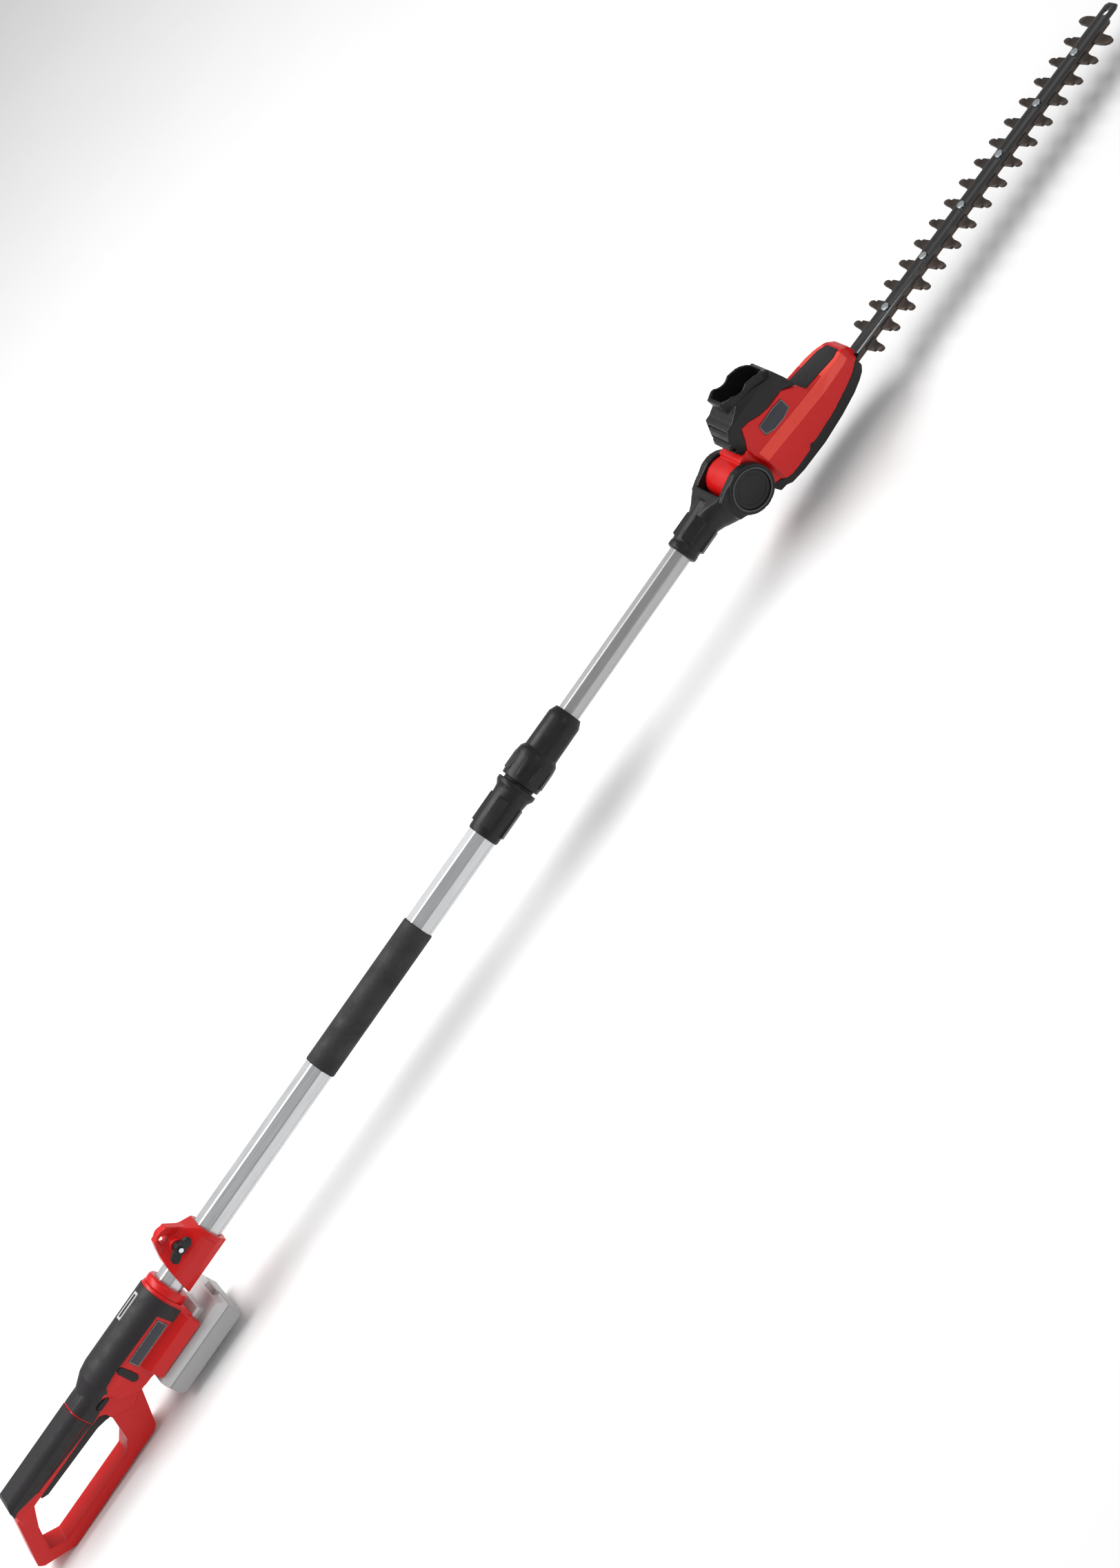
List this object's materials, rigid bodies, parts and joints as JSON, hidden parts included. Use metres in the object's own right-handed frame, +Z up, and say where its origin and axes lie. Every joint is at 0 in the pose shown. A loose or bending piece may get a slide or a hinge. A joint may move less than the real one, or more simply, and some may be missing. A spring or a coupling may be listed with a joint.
{
  "type": "pole hedge trimmer",
  "caption": "Cordless pole hedge trimmer: D-loop handle with battery, telescopic pole with twist lock and strap bracket, tilting motor head and reciprocating double-sided blade.",
  "frame": {"origin": "centre of the footprint at the lowest point, which is the underside of the handle loop", "axes": "+X along the pole from the handle to the blade tip, +Y to the far side, +Z up with the motor cover on top and the battery below"},
  "size_m": [2.2359, 0.08, 0.1815],
  "materials": {
    "housing_red": "satin moulded",
    "overmould_grey": "fine textured soft grip",
    "black_plastic": "fine spark texture",
    "tube_aluminium": "drawn and anodised",
    "foam_black": "open cell foam",
    "frame_grey": "satin",
    "badge_dark": "gloss",
    "steel_zinc": "zinc plated",
    "steel_dark": "black oxide",
    "bar_black": "gloss black coat",
    "ring_satin": "satin chrome",
    "brass": "plain",
    "board_green": "solder mask",
    "nylon": "natural",
    "battery_grey": "satin",
    "battery_light": "satin",
    "cell_wrap": "shrink wrap",
    "cable_black": "coiled lead jacket",
    "motor_steel": "zinc plated can"
  },
  "bodies": {
    "handle": {"rear_housing_left": "housing_red", "rear_housing_right": "housing_red", "barrel_overmould": "overmould_grey", "grip_overmould": "overmould_grey", "front_ring": "housing_red", "window_frame": "frame_grey", "window_lens": "black_plastic", "side_inserts": "black_plastic", "rear_badges": "badge_dark", "terminal_block": "black_plastic", "contact_blades": "brass", "control_board": "board_green", "main_switch": "black_plastic", "housing_screws": "steel_zinc", "outer_tube": "tube_aluminium", "foam_grip": "foam_black", "lower_collar": "black_plastic", "clamp_collet": "nylon", "pole_cable": "cable_black"},
    "strap_bracket": {"strap_bracket_left": "housing_red", "strap_bracket_right": "housing_red", "bracket_bolt": "steel_zinc"},
    "wing_nut": {"wing_nut": "black_plastic"},
    "trigger": {"trigger": "overmould_grey"},
    "lock_off": {"lock_off": "black_plastic"},
    "battery": {"battery_case": "battery_grey", "battery_lid": "battery_light", "battery_cells": "cell_wrap"},
    "battery_release": {"battery_release": "battery_grey"},
    "twist_sleeve": {"twist_sleeve": "black_plastic"},
    "inner_pole": {"inner_tube": "tube_aluminium", "guide_bush": "nylon", "hinge_fork": "black_plastic", "disc_rings": "ring_satin", "far_cap": "black_plastic", "hinge_pin": "steel_zinc"},
    "tilt_button": {"tilt_button": "black_plastic"},
    "head": {"head_housing_left": "housing_red", "head_housing_right": "housing_red", "motor_cover": "black_plastic", "guard_base": "black_plastic", "nose_inlay": "overmould_grey", "head_badges": "badge_dark", "motor_can": "motor_steel", "gear_shaft": "steel_zinc", "support_bar": "bar_black", "bar_screws": "steel_zinc"},
    "pinion": {"motor_pinion": "steel_zinc"},
    "gear": {"drive_gear": "steel_zinc"},
    "upper_blade": {"upper_blade": "steel_dark"},
    "lower_blade": {"lower_blade": "steel_dark"}
  },
  "joints": [
    {"name": "bracket_slide", "type": "slide", "parent": "handle", "child": "strap_bracket", "axis": [1, 0, 0], "range_m": [-0.003, 0.21]},
    {"name": "wing_turn", "type": "hinge", "parent": "strap_bracket", "child": "wing_nut", "pos_m": [-0.704, -0.016, 0.1265], "axis": [0, 1, 0], "range_deg": [-180, 180]},
    {"name": "trigger_pull", "type": "hinge", "parent": "handle", "child": "trigger", "pos_m": [-1.038, 0, 0.0795], "axis": [0, -1, 0], "range_deg": [0, 4], "stiffness_Nm_per_rad": 3, "springref_deg": -5.73},
    {"name": "lock_off_push", "type": "slide", "parent": "handle", "child": "lock_off", "axis": [0, 1, 0], "range_m": [0, 0.003], "stiffness_N_per_m": 400, "springref_m": -0.004},
    {"name": "battery_slide", "type": "slide", "parent": "handle", "child": "battery", "axis": [1, 0, 0], "range_m": [0, 0.095]},
    {"name": "battery_release_push", "type": "slide", "parent": "battery", "child": "battery_release", "axis": [-1, 0, 0], "range_m": [0, 0.003], "stiffness_N_per_m": 300, "springref_m": -0.004},
    {"name": "twist_lock", "type": "hinge", "parent": "handle", "child": "twist_sleeve", "pos_m": [-0.01, 0, 0.0975], "axis": [1, 0, 0], "range_deg": [0, 60]},
    {"name": "telescope", "type": "slide", "parent": "handle", "child": "inner_pole", "axis": [1, 0, 0], "range_m": [-0.22, 0.18]},
    {"name": "head_tilt", "type": "hinge", "parent": "inner_pole", "child": "head", "pos_m": [0.3983, 0, 0.0917], "axis": [0, 1, 0], "range_deg": [-45, 75]},
    {"name": "tilt_button_push", "type": "slide", "parent": "inner_pole", "child": "tilt_button", "axis": [0, 1, 0], "range_m": [0, 0.0025], "stiffness_N_per_m": 1500, "springref_m": -0.003},
    {"name": "gear_spin", "type": "hinge", "parent": "head", "child": "gear", "pos_m": [0.53622, 0, 0.06546], "axis": [0.0314, 0, 0.9995], "continuous": true},
    {"name": "pinion_spin", "type": "hinge", "parent": "head", "child": "pinion", "pos_m": [0.5033, 0, 0.06849], "axis": [0.0314, 0, 0.9995], "continuous": true},
    {"name": "upper_blade_stroke", "type": "slide", "parent": "head", "child": "upper_blade", "axis": [0.9995, 0, -0.0314], "range_m": [-0.0075, 0.0075]},
    {"name": "lower_blade_stroke", "type": "slide", "parent": "head", "child": "lower_blade", "axis": [0.9995, 0, -0.0314], "range_m": [-0.0075, 0.0075]}
  ],
  "couplings": [
    {"joint": "pinion_spin", "follows": "gear_spin", "ratio": -4.5},
    {"joint": "lower_blade_stroke", "follows": "upper_blade_stroke", "ratio": -1}
  ]
}
